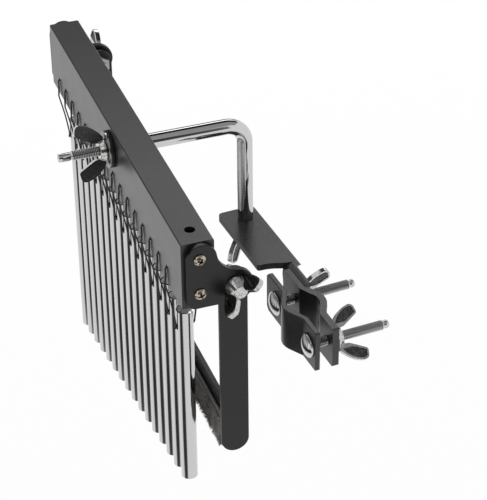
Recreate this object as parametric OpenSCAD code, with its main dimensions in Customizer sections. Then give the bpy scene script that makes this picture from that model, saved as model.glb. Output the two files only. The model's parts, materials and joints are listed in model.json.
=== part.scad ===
/* [Bar] */
// Length of the hollow bar
bar_l = 260; // [250:1:300]
// Depth of the bar, front to back
bar_d = 18.5; // [16:0.5:24]
// Height of the bar
bar_h = 41; // [38:0.5:50]
// Wall of the bar
bar_wall = 2; // [1.2:0.1:3]
// Small outer radius along the bar's long edges
bar_corner = 0.9; // [0.4:0.1:1.1]
// Diameter of the plain hole in the top face
top_hole_d = 6; // [3:0.5:8]
// Distance of that hole's centre from the near end
top_hole_inset = 12.6; // [12:0.1:20]
// Length of the blocks that take the end screws
block_l = 8; // [6:0.5:8]
// Gap all round between a block and the bar's inside
block_gap = 0.1; // [0.05:0.05:0.3]

/* [Tubes] */
// Outer diameter of a chime tube
tube_d = 9.5; // [8:0.1:11]
// Wall of a chime tube
tube_wall = 1; // [0.6:0.1:1.5]
// Distance between neighbouring tubes
tube_pitch = 14.5; // [13:0.1:15]
// Distance of the first tube from the near end
tube_inset = 26; // [22:0.5:30]
// Length of the shortest tube
tube_first_l = 117.8; // [90:0.1:160]
// Length that each next tube gains
tube_step_l = 2.7; // [0:0.1:5]
// Drop from the bar's underside to the hole across a tube
tube_drop = 30.5; // [24:0.5:40]
// Distance from that hole up to the tube's open top
tube_head = 11.1; // [6:0.1:14]
// Diameter of the hole across a tube
tube_hole_d = 3.2; // [2.6:0.1:4]

/* [Cords] */
// Diameter of a cord
cord_d = 1; // [0.6:0.1:1.4]
// Diameter of the cord holes in the bar
cord_hole_d = 2.4; // [1.8:0.1:3.5]
// Height of the cord holes above the bar's underside
cord_hole_rise = 11; // [8:0.5:14]

/* [End plates] */
// Thickness of an end plate
plate_t = 3.5; // [2:0.1:5]
// Step from the bar's top face down to the plate's top
plate_inset = 0.4; // [0.2:0.1:1]
// Step from the bar's front face back to the near plate's front edge
near_plate_inset = 1.9; // [0.2:0.1:2.4]
// The same step at the far plate
far_plate_inset = 0.2; // [0.2:0.1:2.4]
// Radius of the plate's rounded top
plate_top_r = 8.5; // [8:0.1:9]
// Radius of the plate's lower front corner
plate_corner_r = 5; // [2:0.5:8]
// Radius of the ear that holds the damper
ear_r = 10; // [8:0.1:12]
// Radius of the hollow curve between the top and the ear
ear_blend_r = 14; // [10:0.5:24]
// Distance of the damper's pivot behind the bar
pivot_back = 10.8; // [10:0.1:16]
// Height of the damper's pivot above the bar's underside
pivot_rise = 11; // [9:0.1:16]
// Shank diameter of an end screw
end_screw_d = 4; // [3:0.1:5]
// Head diameter of an end screw
end_screw_head_d = 6.8; // [6:0.1:8]
// Head height of an end screw
end_screw_head_h = 2.4; // [1.6:0.1:3]
// Distance between the two screws of a plate
end_screw_gap = 21.6; // [16:0.1:23]
// Height of the lower screw above the bar's underside
end_screw_rise = 10.4; // [8:0.1:12]

/* [Damper] */
// Width of a damper arm
arm_w = 16; // [13:0.5:17]
// Thickness of a damper arm
arm_t = 3; // [2:0.1:4]
// Distance from the pivot to the centre of an arm's lower round
arm_l = 109; // [100:0.5:120]
// Height of the strip between the arms
strip_h = 26.5; // [20:0.5:34]
// Thickness of that strip
strip_t = 3; // [2:0.1:4]
// Height of the strip's lower edge above the arms' lowest point
strip_rise = 1; // [0:0.1:6]
// Distance of the strip's front face in front of the pivot
strip_front = 3.3; // [2:0.1:5]
// Height of the soft pad on the strip
pad_h = 18; // [12:0.5:20]
// Thickness of the pad's backing
backing_t = 2.3; // [1:0.1:3]
// Thickness of the pad's pile
pile_t = 3.1; // [2:0.1:3.5]
// Drop of the pile below its backing
pile_drop = 0.4; // [0.2:0.1:0.8]

/* [Fasteners] */
// Thread diameter of every bolt and rod end
thread_d = 6; // [5:0.1:7]
// Gap round a thread inside its nut, on the radius
thread_gap = 0.05; // [0.02:0.01:0.1]
// Gap round a thread in a plain hole, on the radius
hole_gap = 0.3; // [0.1:0.05:0.5]
// Distance across the tips of a wing nut
wing_span = 33; // [28:0.5:36]
// Height of a wing nut over its wings
wing_h = 17; // [14:0.5:20]
// Distance across the tips of a pivot screw's wings
screw_wing_span = 27; // [25:0.5:33]
// Height of a pivot screw over its wings
screw_wing_h = 15.5; // [14:0.5:17]
// Thickness of a wing
wing_t = 3; // [2:0.1:4]
// Radius of a wing's outer corner
wing_r = 3.2; // [2.5:0.1:3.8]
// Diameter of a wing nut at its base
hub_d = 13; // [12:0.1:14]
// Diameter of a wing nut's top face
hub_top_d = 11; // [9.4:0.1:12]
// Height of a wing nut without its wings
hub_h = 4; // [3.4:0.1:6]
// Diameter of a pivot screw's top face
screw_top_d = 8; // [7:0.1:10]
// Height of a pivot screw without its wings
screw_hub_h = 7.2; // [6:0.1:8]
// Diameter of a small washer
washer_d = 12.4; // [11:0.1:13]
// Thickness of a small washer
washer_t = 1.2; // [0.8:0.1:1.6]
// Diameter of the two wide washers in front of the bar
wide_washer_d = 21.8; // [18:0.1:26]
// Thickness of the wide metal washer
wide_washer_t = 1.2; // [1:0.1:2.5]
// Thickness of the rubber washer
rubber_t = 1.8; // [1:0.1:6]
// Diameter of the rubber washer under the bracket plate
plate_rubber_d = 15; // [12:0.1:16]
// Thickness of that washer
plate_rubber_t = 3.5; // [2:0.1:5]
// Thickness of the spacer between an end plate and a damper arm
spacer_t = 1.5; // [1:0.1:3]
// Distance across the flats of the pivot's hex nut
hex_nut_w = 10; // [9.5:0.1:11]
// Height of that nut
hex_nut_h = 5; // [4:0.1:6]

/* [Rod] */
// Diameter of the bent rod
rod_d = 9.5; // [8:0.1:11]
// Radius of the bend along the rod's middle line
rod_bend_r = 12; // [9:0.5:20]
// Distance from the upright leg's middle to the bar's back face
rod_reach = 63.1; // [50:0.5:90]
// Height of the level leg's middle above the bracket plate
rod_rise = 65.8; // [60:0.5:80]
// Distance of the level leg's middle below the bar's top face
rod_drop = 15.5; // [13:0.5:20]
// Length of the threaded end in front of the bar
rod_front_l = 31; // [24:0.5:40]
// Length of the threaded end below the bracket plate's top
rod_foot_l = 19; // [16:0.5:26]
// Length of the plain point at the rod's front end
rod_point_l = 8; // [4:0.5:10]
// Diameter of a plain point
point_d = 5; // [4:0.1:5.4]

/* [Bracket] */
// Diameter that the clamp grips
grip_d = 19.05; // [16:0.05:22.2]
// Gap between that diameter and the clamp's seat, on the radius
grip_gap = 0.075; // [0.02:0.005:0.1]
// Turn of the bracket about its clamp's axis, against the bar
clamp_turn = 4; // [0:0.5:8]
// Height of the clamp jaws
jaw_h = 26; // [23:0.5:27]
// Distance of the jaws' left ends from the clamp's middle
jaw_left_w = 36; // [32:0.5:38]
// Distance of the jaws' right ends from the clamp's middle
jaw_right_w = 30.5; // [30:0.5:36]
// Slope of the jaws' walls beside the seat, in degrees
jaw_slope = 28; // [25:0.5:34]
// Sheet thickness of the front jaw
front_jaw_t = 3; // [2.5:0.1:4]
// Sheet thickness of the bracket and its rear jaw
bracket_t = 4; // [3:0.1:4.5]
// Distance of the front jaw's flanges in front of the clamp's middle
front_flange = 3.6; // [3:0.1:4.5]
// Distance of the rear jaw's flanges behind the clamp's middle
rear_flange = 4; // [3:0.1:5]
// Radius of the bends between a jaw's walls and flanges
jaw_bend_r = 1; // [0.5:0.1:1.5]
// Size of the cut corners at a jaw's left end
jaw_left_cut = 2.2; // [1:0.1:4]
// Size of the cut corners at a jaw's right end
jaw_right_cut = 0.6; // [0.4:0.1:2]
// Distance of each clamp bolt from the clamp's middle
bolt_offset = 22; // [21:0.1:24]
// Distance of the bolts' tips behind the clamp's middle
bolt_tip = 43.5; // [38:0.5:60]
// Length of the plain point at a clamp bolt's tip
bolt_point_l = 4.5; // [3.5:0.5:8]
// Diameter of a clamp bolt's domed head
bolt_head_d = 14.5; // [13:0.1:14.6]
// Height of that head
bolt_head_h = 4; // [3:0.1:5]
// Height of that head's rim, below its dome
bolt_rim_h = 1.5; // [0.5:0.1:2]
// Width of the square neck under that head
bolt_neck_w = 6.2; // [6:0.1:7]
// Distance of the rod's leg from the clamp's middle, along the plate
leg_along = 91.5; // [85:0.5:120]
// Distance of the rod's leg behind the clamp's middle
leg_across = 4.4; // [0:0.1:6]
// Height of the plate's top above the clamp bolts
plate_top_z = 14.7; // [14:0.1:16]
// Length of plate beyond the leg's middle
plate_beyond = 10.5; // [9:0.5:16]
// Distance of the plate's near end from the clamp's middle
plate_near = 41.7; // [38:0.1:50]
// Distance of the plate's front edge in front of the clamp's middle
plate_front = 9.5; // [6:0.1:12]
// Distance of the plate's back edge behind the clamp's middle
plate_back = 13.8; // [13:0.1:20]
// Radius of the plate's outer corners
plate_round_r = 3; // [1:0.5:5]
// Outer radius of the fold from the plate down to the rear jaw
fold_r = 8; // [6:0.1:8.5]

/* [Hidden] */
$fn = 96;

// Height at which a wing leaves its hub, and the rim, gap, neck and depth of its sunk panel
wing_foot = 0.7;
wing_rim = 1.1;
panel_gap = 0.9;
panel_neck_h = 4.6;
panel_depth = 0.5;
// Where a wing's edges start: out from the hub's foot, in from the hub's top face and above it
wing_foot_out = 1.5;
wing_neck_in = 0.5;
wing_neck_h = 3.1;
// Bulge of a wing's outer edge and the drop of its two end corners
wing_bulge_x = 1;
wing_bulge_h = 6.2;
wing_corner_drop = 3.5;
wing_shoulder_in = 4.9;
wing_shoulder_r = 2;
// Cut, collar and top edge of a wing nut's hub
hub_foot_cut = 0.3;
hub_collar_h = 1.2;
hub_edge_r = 0.6;

// Groove between a thread and its plain point, and the rounding of that point's end
groove_depth = 0.7;
groove_l = 1;
groove_slope = 0.3;
rod_point_r = 0.7;
bolt_point_r = 1.9;

// Small overlap that keeps cuts and unions clean
eps = 0.01;
// Overrun of a cutting solid past the face that it cuts
cut = 1;
tube_count = 16;

// Turn of each nut's and screw's wings about its own axis
rod_nut_turn = 110;
plate_nut_turn = 304;
left_nut_turn = 84;
right_nut_turn = 138;
near_screw_turn = 46;
far_screw_turn = 72;

// The rod's upright leg, in the frame of the bar
leg_x = -leg_along * cos(clamp_turn) - leg_across * sin(clamp_turn);
leg_y = -leg_along * sin(clamp_turn) + leg_across * cos(clamp_turn);

// The bar's box
bar_x0 = leg_x - bar_l / 2;
bar_x1 = leg_x + bar_l / 2;
bar_y1 = leg_y - rod_reach;
bar_y0 = bar_y1 - bar_d;
rod_z = plate_top_z + rod_rise;
bar_z1 = rod_z + rod_drop;
bar_z0 = bar_z1 - bar_h;
bar_mid_y = (bar_y0 + bar_y1) / 2;

// Where the tubes and cords hang
cord_z = bar_z0 + cord_hole_rise;
tube_hole_z = bar_z0 - tube_drop;
tube_top_z = tube_hole_z + tube_head;
cord_seat_z = tube_hole_z + (tube_hole_d - cord_d) / 2;

// The damper's pivot and the pieces along it
pivot_y = bar_y1 + pivot_back;
pivot_z = bar_z0 + pivot_rise;
arm_r = arm_w / 2;
arm_out_x = bar_x1 - spacer_t;
arm_in_x = arm_out_x - arm_t;
strip_y0 = pivot_y - strip_front;
strip_z0 = pivot_z - arm_l - arm_r + strip_rise;

// Radii of threads, of the nuts round them and of plain holes
thread_r = thread_d / 2 - thread_gap;
nut_r = thread_d / 2;
plain_r = thread_d / 2 + hole_gap;
seat_r = grip_d / 2 + grip_gap;

// Lap of the fold under the plate, and the height at which its notch starts
fold_lap = 2;
fold_low = 1.5;
// Round cut in the fold's back edge that lets the left clamp nut's wings pass
relief_rise = 1.8;
relief_gap = 1.4;

// Wing nuts seat on these planes
rod_nut_y = bar_y0 - rubber_t - wide_washer_t;
plate_rubber_z = plate_top_z - bracket_t - plate_rubber_t;
plate_nut_z = plate_rubber_z - washer_t;
clamp_nut_y = rear_flange + bracket_t + washer_t;

// Points of an arc from angle a0 to a1, ends included
function arc(c, r, a0, a1, n = 12) =
    [for (i = [0:n]) c + r * [cos(a0 + (a1 - a0) * i / n), sin(a0 + (a1 - a0) * i / n)]];

function tube_x(i) = bar_x1 - tube_inset - tube_pitch * (i - 1);
function tube_l(i) = tube_first_l + tube_step_l * (i - 1);

// A flat outline of (y, z) points, made thick along +X from x
module along_x(x, t) {
    translate([x, 0, 0]) rotate([90, 0, 90]) linear_extrude(t) children();
}

// A flat outline of (x, z) points, made thick along +Y from y
module along_y(y, t) {
    translate([0, y + t, 0]) rotate([90, 0, 0]) linear_extrude(t) children();
}

// A cylinder along +X from x, centred on (y, z)
module rod_x(x, y, z, r, l) {
    translate([x, y, z]) rotate([0, 90, 0]) cylinder(r = r, h = l);
}

// A cylinder along +Y from y, centred on (x, z)
module rod_y(x, y, z, r, l) {
    translate([x, y, z]) rotate([-90, 0, 0]) cylinder(r = r, h = l);
}

// The bracket's own frame, turned about the clamp's axis
module in_clamp() {
    rotate([0, 0, clamp_turn]) children();
}

// Rounded rectangle from (0, 0) to (w, h)
module round_box(w, h, r) {
    polygon(concat(
        arc([r, r], r, 180, 270, 5), arc([w - r, r], r, 270, 360, 5),
        arc([w - r, h - r], r, 0, 90, 5), arc([r, h - r], r, 90, 180, 5)));
}

module bar() {
    color([0.07, 0.07, 0.075])
    difference() {
        translate([0, bar_y0, bar_z0])
        along_x(bar_x0, bar_l)
        difference() {
            round_box(bar_d, bar_h, bar_corner);
            translate([bar_wall, bar_wall]) square([bar_d - 2 * bar_wall, bar_h - 2 * bar_wall]);
        }
        for (i = [1:tube_count])
            rod_y(tube_x(i), bar_y0 - cut, cord_z, cord_hole_d / 2, bar_d + 2 * cut);
        rod_y(leg_x, bar_y0 - cut, rod_z, plain_r, bar_d + 2 * cut);
        translate([bar_x1 - top_hole_inset, bar_mid_y, bar_z1 - bar_wall - cut])
        cylinder(r = top_hole_d / 2, h = bar_wall + 2 * cut);
    }
}

// The two screw heights of an end plate
screw_zs = [bar_z0 + end_screw_rise, bar_z0 + end_screw_rise + end_screw_gap];

// Block inside the bar that takes two screws, from x0 along +X
module end_block(x0) {
    gap = bar_wall + block_gap;
    difference() {
        translate([x0, bar_y0 + gap, bar_z0 + gap])
        cube([block_l, bar_d - 2 * gap, bar_h - 2 * gap]);
        for (z = screw_zs)
            rod_x(x0 - cut, bar_mid_y, z, end_screw_d / 2, block_l + 2 * cut);
    }
}

module end_block_near() {
    color([0.2, 0.2, 0.2]) end_block(bar_x1 - block_l);
}

module end_block_far() {
    color([0.2, 0.2, 0.2]) end_block(bar_x0);
}

// Outline of an end plate in (y, z): round top, hollow curve, ear, flat foot and a round corner
module end_plate_outline(front_inset) {
    front_y = bar_y0 + front_inset;
    top = [front_y + plate_top_r, bar_z1 - plate_inset - plate_top_r];
    ear = [pivot_y, pivot_z];
    foot_z = ear[1] - ear_r;
    to_ear = ear - top;
    d = norm(to_ear);
    reach_top = plate_top_r + ear_blend_r;
    reach_ear = ear_r + ear_blend_r;
    a = (reach_top * reach_top - reach_ear * reach_ear + d * d) / (2 * d);
    h = sqrt(reach_top * reach_top - a * a);
    u = to_ear / d;
    blend = top + a * u + h * [-u[1], u[0]];
    from_top = blend - top;
    from_ear = blend - ear;
    a_top = atan2(from_top[1], from_top[0]);
    a_ear = atan2(from_ear[1], from_ear[0]);
    corner = [front_y + plate_corner_r, foot_z + plate_corner_r];
    polygon(concat(
        arc(top, plate_top_r, 180, a_top, 24),
        arc(blend, ear_blend_r, a_top + 180, a_ear + 180, 12),
        arc(ear, ear_r, a_ear, -90, 24),
        arc(corner, plate_corner_r, 270, 180, 10)));
}

// End plate with its pivot hole and two screw holes, from x along +X
module end_plate(x, front_inset) {
    difference() {
        along_x(x, plate_t) end_plate_outline(front_inset);
        rod_x(x - cut, pivot_y, pivot_z, plain_r, plate_t + 2 * cut);
        for (z = screw_zs)
            rod_x(x - cut, bar_mid_y, z, end_screw_d / 2 + hole_gap / 2, plate_t + 2 * cut);
    }
}

module end_plate_near() {
    color([0.06, 0.06, 0.065]) end_plate(bar_x1, near_plate_inset);
}

module end_plate_far() {
    color([0.06, 0.06, 0.065]) end_plate(bar_x0 - plate_t, far_plate_inset);
}

// Pan-head screw with a cross recess, head at the origin and shank along -Z
module end_screw() {
    head_r = end_screw_head_d / 2;
    shank_r = end_screw_d / 2 - thread_gap;
    shank_l = plate_t + block_l - 1;
    edge_r = end_screw_head_h * 0.7;
    recess_w = end_screw_head_d / 6;
    difference() {
        rotate_extrude()
        polygon(concat(
            [[0, -shank_l], [shank_r, -shank_l], [shank_r, 0], [head_r, 0]],
            arc([head_r - edge_r, end_screw_head_h - edge_r], edge_r, 0, 90, 6),
            [[0, end_screw_head_h]]));
        for (turn = [0, 90])
            rotate([0, 0, turn])
            translate([0, 0, end_screw_head_h])
            cube([end_screw_head_d * 0.56, recess_w, end_screw_head_h], center = true);
    }
}

module end_screws() {
    color([0.75, 0.75, 0.76])
    for (z = screw_zs) {
        translate([bar_x1 + plate_t, bar_mid_y, z]) rotate([0, 90, 0]) rotate([0, 0, 25]) end_screw();
        translate([bar_x0 - plate_t, bar_mid_y, z]) rotate([0, -90, 0]) rotate([0, 0, 10]) end_screw();
    }
}

// Chime tube number i, counted from the near end
module tube(i) {
    color([0.78, 0.78, 0.8])
    difference() {
        translate([tube_x(i), bar_mid_y, tube_top_z - tube_l(i)])
        difference() {
            cylinder(r = tube_d / 2, h = tube_l(i));
            translate([0, 0, -cut]) cylinder(r = tube_d / 2 - tube_wall, h = tube_l(i) + 2 * cut);
        }
        rod_y(tube_x(i), bar_mid_y - tube_d / 2 - cut, tube_hole_z, tube_hole_d / 2, tube_d + 2 * cut);
    }
}

// Route of a cord in (y, z): a closed loop out of the bar, down, through the tube and back up
cord_clear = cord_d / 2 + 0.15;
cord_front_y = bar_y0 - cord_clear;
cord_back_y = bar_y1 + cord_clear;
cord_tube_y = tube_d / 2 + cord_clear;
cord_route = [
    [bar_mid_y, cord_z],
    [bar_y0 + bar_wall, cord_z],
    [cord_front_y + 0.2, cord_z - 0.1],
    [cord_front_y - 0.1, cord_z - 0.9],
    [cord_front_y, cord_z - 2.5],
    [cord_front_y, bar_z0 + 1],
    [cord_front_y + 0.4, bar_z0 - 2],
    [bar_mid_y - cord_tube_y - 0.7, cord_seat_z + 2.5],
    [bar_mid_y - cord_tube_y, cord_seat_z + 0.5],
    [bar_mid_y - cord_tube_y + 0.7, cord_seat_z],
    [bar_mid_y, cord_seat_z],
    [bar_mid_y + cord_tube_y - 0.7, cord_seat_z],
    [bar_mid_y + cord_tube_y, cord_seat_z + 0.5],
    [bar_mid_y + cord_tube_y + 0.7, cord_seat_z + 2.5],
    [cord_back_y - 0.4, bar_z0 - 2],
    [cord_back_y, bar_z0 + 1],
    [cord_back_y, cord_z - 2.5],
    [cord_back_y + 0.1, cord_z - 0.9],
    [cord_back_y - 0.2, cord_z - 0.1],
    [bar_y1 - bar_wall, cord_z]
];
cord_sides = 8;

// Closed tube along a flat loop of (y, z) points at one x
module cord_loop(x, route) {
    n = len(route);
    rings = [for (i = [0:n - 1])
        let (
            before = route[(i + n - 1) % n],
            after = route[(i + 1) % n],
            run = (after - before) / norm(after - before),
            side = [-run[1], run[0]])
        for (k = [0:cord_sides - 1])
            let (a = 360 * k / cord_sides, s = cord_d / 2 * cos(a))
            [x + cord_d / 2 * sin(a), route[i][0] + s * side[0], route[i][1] + s * side[1]]];
    faces = [for (i = [0:n - 1]) for (k = [0:cord_sides - 1])
        let (
            i2 = (i + 1) % n,
            k2 = (k + 1) % cord_sides,
            a = i * cord_sides + k,
            b = i * cord_sides + k2,
            c = i2 * cord_sides + k2,
            d = i2 * cord_sides + k)
        for (t = [[a, b, c], [a, c, d]]) t];
    polyhedron(points = rings, faces = faces);
}

module suspension_cords() {
    color([0.05, 0.05, 0.05])
    for (i = [1:tube_count]) cord_loop(tube_x(i), cord_route);
}

// Damper arm with its pivot hole, from x along +X
module damper_arm(x) {
    difference() {
        along_x(x, arm_t)
        polygon(concat(
            arc([pivot_y, pivot_z], arm_r, 180, 0, 24),
            arc([pivot_y, pivot_z - arm_l], arm_r, 0, -180, 24)));
        rod_x(x - cut, pivot_y, pivot_z, plain_r - hole_gap / 2, arm_t + 2 * cut);
    }
}

module damper_arm_near() {
    color([0.06, 0.06, 0.065]) damper_arm(arm_in_x);
}

module damper_arm_far() {
    color([0.06, 0.06, 0.065]) damper_arm(bar_x0 + spacer_t);
}

// Run of the strip between the two arms
strip_x0 = bar_x0 + spacer_t + arm_t;
strip_l = arm_in_x - strip_x0;

module damper_strip() {
    color([0.06, 0.06, 0.065])
    translate([strip_x0, strip_y0, strip_z0]) cube([strip_l, strip_t, strip_h]);
}

module damper_backing() {
    color([0.16, 0.15, 0.15])
    translate([strip_x0 + 1, strip_y0 - backing_t, strip_z0])
    cube([strip_l - 2, backing_t, pad_h]);
}

// Plain solid of the pile, rounded along its upper and lower front edges
module damper_fur() {
    r = pile_t / 2;
    color([0.3, 0.29, 0.27])
    translate([0, strip_y0 - backing_t - pile_t, strip_z0 - pile_drop])
    along_x(strip_x0 + 1, strip_l - 2)
    polygon(concat(
        arc([r, r], r, 180, 270, 6), [[pile_t, 0], [pile_t, pad_h + pile_drop]],
        arc([r, pad_h + pile_drop - r], r, 90, 180, 6)));
}

// Flat ring along +X from x on the damper's pivot line
module pivot_ring(x, outer_r, inner_r, t) {
    difference() {
        rod_x(x, pivot_y, pivot_z, outer_r, t);
        rod_x(x - cut, pivot_y, pivot_z, inner_r, t + 2 * cut);
    }
}

module pivot_spacers() {
    color([0.7, 0.7, 0.72]) {
        pivot_ring(arm_out_x, washer_d / 2, plain_r, spacer_t);
        pivot_ring(bar_x0, washer_d / 2, plain_r, spacer_t);
    }
}

// Hexagonal nut on the pivot line, from x along +X
module pivot_hex_nut(x) {
    difference() {
        translate([x, pivot_y, pivot_z]) rotate([0, 90, 0])
        cylinder(r = hex_nut_w / 2 / cos(30), h = hex_nut_h, $fn = 6);
        rod_x(x - cut, pivot_y, pivot_z, nut_r, hex_nut_h + 2 * cut);
    }
}

module pivot_hex_nuts() {
    color([0.7, 0.7, 0.72]) {
        pivot_hex_nut(arm_in_x - hex_nut_h);
        pivot_hex_nut(strip_x0);
    }
}

// Points of a curve from p to q that leaves and ends towards c, without p itself
function curve(p, c, q, n = 12) =
    [for (i = [1:n]) let (t = i / n) (1 - t) * (1 - t) * p + 2 * t * (1 - t) * c + t * t * q];

// Outer edge and end of a wing in (radius, height) from its foot, drawn a rim's width inside
function wing_edge(span, h, foot, rim) = concat(
    curve(foot, [span / 2 - wing_bulge_x - rim, wing_bulge_h + rim / 2],
        [span / 2 - rim, h - wing_corner_drop]),
    arc([span / 2 - wing_r, h - wing_corner_drop], wing_r - rim, 0, 70),
    arc([span / 2 - wing_shoulder_in, h - wing_shoulder_r], wing_shoulder_r - rim, 80, 150));

// Outline of one wing
module wing_outline(span, h, top_h, top_r) {
    foot = [hub_d / 2 + wing_foot_out, wing_foot];
    polygon(concat(
        [[top_r - 1, top_h - hub_edge_r], [top_r - 1, wing_foot], foot],
        wing_edge(span, h, foot, 0),
        [[top_r - wing_neck_in, top_h + wing_neck_h]]));
}

// Outline of the sunk panel in a wing's face, clear of the hub
module panel_outline(span, h, top_h) {
    root_x = hub_d / 2 + panel_gap;
    foot = [root_x + wing_rim, wing_foot + 2 * wing_rim];
    polygon(concat(
        [[root_x, top_h + panel_neck_h], [root_x, foot[1] - wing_rim / 2], foot],
        wing_edge(span, h, foot, wing_rim)));
}

// Two wings across the Z axis, with a sunk panel in each face
module wings(span, h, top_h, top_r) {
    for (side = [0, 180])
        rotate([0, 0, side])
        difference() {
            translate([0, wing_t / 2, 0]) rotate([90, 0, 0])
            linear_extrude(wing_t) wing_outline(span, h, top_h, top_r);
            for (y = [wing_t / 2 + cut, -wing_t / 2 + panel_depth])
                translate([0, y, 0])
                rotate([90, 0, 0]) linear_extrude(panel_depth + cut) panel_outline(span, h, top_h);
        }
}

// Round hub under the wings: a low collar, a cone and a softened top edge
module hub(top_h, top_r) {
    base_r = hub_d / 2;
    rotate_extrude()
    polygon(concat(
        [[0, 0], [base_r - hub_foot_cut, 0], [base_r, hub_foot_cut], [base_r, hub_collar_h]],
        arc([top_r - hub_edge_r, top_h - hub_edge_r], hub_edge_r, 0, 90, 4),
        [[0, top_h]]));
}

// Wing nut seated on the plane z = 0, wings up
module wing_nut() {
    difference() {
        union() {
            hub(hub_h, hub_top_d / 2);
            wings(wing_span, wing_h, hub_h, hub_top_d / 2);
        }
        translate([0, 0, -cut]) cylinder(r = nut_r, h = wing_h + 2 * cut);
    }
}

// Wing screw seated on the plane z = 0, wings up and shank down
module wing_screw(shank_l) {
    hub(screw_hub_h, screw_top_d / 2);
    wings(screw_wing_span, screw_wing_h, screw_hub_h, screw_top_d / 2);
    translate([0, 0, -shank_l]) cylinder(r = thread_r, h = shank_l + 1);
}

pivot_shank_l = plate_t + spacer_t + arm_t + hex_nut_h + 1;

module pivot_screw_near() {
    color([0.8, 0.8, 0.78])
    translate([bar_x1 + plate_t, pivot_y, pivot_z])
    rotate([near_screw_turn, 0, 0]) rotate([90, 0, 90]) wing_screw(pivot_shank_l);
}

module pivot_screw_far() {
    color([0.8, 0.8, 0.78])
    translate([bar_x0 - plate_t, pivot_y, pivot_z])
    rotate([far_screw_turn, 0, 0]) rotate([90, 0, -90]) wing_screw(pivot_shank_l);
}

// Half profile of a threaded end from height 0 to l, with a groove and a plain point rounded by r
function end_profile(l, point_l, r) = concat([
    [0, 0],
    [thread_r, 0],
    [thread_r, l - point_l],
    [thread_r - groove_depth, l - point_l + groove_slope],
    [thread_r - groove_depth, l - point_l + groove_l],
    [point_d / 2, l - point_l + groove_l + groove_slope]],
    arc([point_d / 2 - r, l - r], r, 0, 90, 8),
    [[0, l]]);

// Threaded end along +Z with a grooved point
module threaded_end(l, point_l, r) {
    rotate_extrude() polygon(end_profile(l, point_l, r));
}

module l_rod() {
    color([0.8, 0.8, 0.82])
    translate([leg_x, leg_y, 0]) {
        // level leg, from the bar's back face to the bend
        translate([0, -rod_reach, rod_z]) rotate([-90, 0, 0])
        cylinder(r = rod_d / 2, h = rod_reach - rod_bend_r);
        // bend
        translate([0, -rod_bend_r, rod_z - rod_bend_r]) rotate([0, 0, 90]) rotate([90, 0, 0])
        rotate_extrude(angle = 90) translate([rod_bend_r, 0]) circle(r = rod_d / 2);
        // upright leg, down to the bracket plate
        translate([0, 0, plate_top_z])
        cylinder(r = rod_d / 2, h = rod_rise - rod_bend_r);
        // threaded front end through the bar
        translate([0, -rod_reach + eps, rod_z]) rotate([90, 0, 0])
        threaded_end(bar_d + rod_front_l + eps, rod_point_l, rod_point_r);
        // threaded foot through the plate
        translate([0, 0, plate_top_z + eps]) rotate([180, 0, 0])
        cylinder(r = thread_r, h = rod_foot_l + eps);
    }
}

// Flat ring in front of the bar, from y back to y + t
module front_ring(y, t) {
    difference() {
        rod_y(leg_x, y, rod_z, wide_washer_d / 2, t);
        rod_y(leg_x, y - cut, rod_z, plain_r, t + 2 * cut);
    }
}

module rubber_washer() {
    color([0.05, 0.05, 0.05]) front_ring(bar_y0 - rubber_t, rubber_t);
}

module wide_washer() {
    color([0.75, 0.75, 0.77]) front_ring(rod_nut_y, wide_washer_t);
}

module rod_wing_nut() {
    color([0.8, 0.8, 0.8])
    translate([leg_x, rod_nut_y, rod_z])
    rotate([0, -rod_nut_turn, 0]) rotate([90, 0, 0]) wing_nut();
}

// Flat ring round the rod's foot, from z up to z + t
module foot_ring(z, outer_r, t) {
    translate([leg_x, leg_y, z])
    difference() {
        cylinder(r = outer_r, h = t);
        translate([0, 0, -cut]) cylinder(r = plain_r, h = t + 2 * cut);
    }
}

module plate_rubber_washer() {
    color([0.05, 0.05, 0.05]) foot_ring(plate_rubber_z, plate_rubber_d / 2, plate_rubber_t);
}

module plate_washer() {
    color([0.75, 0.75, 0.77]) foot_ring(plate_nut_z, washer_d / 2, washer_t);
}

module plate_wing_nut() {
    color([0.8, 0.8, 0.8])
    translate([leg_x, leg_y, plate_nut_z])
    rotate([0, 0, plate_nut_turn]) rotate([180, 0, 0]) wing_nut();
}

// Distance of a bend's middle from the clamp's middle, for a wall that touches the seat
function jaw_bend_x(flange, t) =
    (seat_r + t + jaw_bend_r - (flange + t + jaw_bend_r) * cos(jaw_slope)) / sin(jaw_slope);

// Sheet outline of a jaw in (x, y): two flanges and a V with a round bottom that bulges to +Y.
// Its inner side stops short of the seat, which is cut as a true cylinder.
module jaw_outline(flange, t) {
    bend_x = jaw_bend_x(flange, t);
    bend_y = flange + t + jaw_bend_r;
    inner = jaw_bend_r + t;
    polygon(concat(
        [[jaw_right_w, flange], [jaw_right_w, flange + t]],
        arc([bend_x, bend_y], jaw_bend_r, 270, 270 - jaw_slope, 6),
        arc([0, 0], seat_r + t, 90 - jaw_slope, 90 + jaw_slope, 12),
        arc([-bend_x, bend_y], jaw_bend_r, jaw_slope - 90, -90, 6),
        [[-jaw_left_w, flange + t], [-jaw_left_w, flange]],
        arc([-bend_x, bend_y], inner, -90, jaw_slope - 90, 6),
        arc([0, 0], seat_r * 0.97, 90 + jaw_slope, 90 - jaw_slope, 12),
        arc([bend_x, bend_y], inner, 270 - jaw_slope, 270, 6)));
}

// Jaw solid: the sheet outline made tall, with cut corners and a true round seat
module jaw(flange, t) {
    difference() {
        intersection() {
            translate([0, 0, -jaw_h / 2]) linear_extrude(jaw_h) jaw_outline(flange, t);
            along_y(0, seat_r + t + cut) jaw_face();
        }
        translate([0, 0, -jaw_h]) cylinder(r = seat_r, h = 2 * jaw_h);
    }
}

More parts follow.
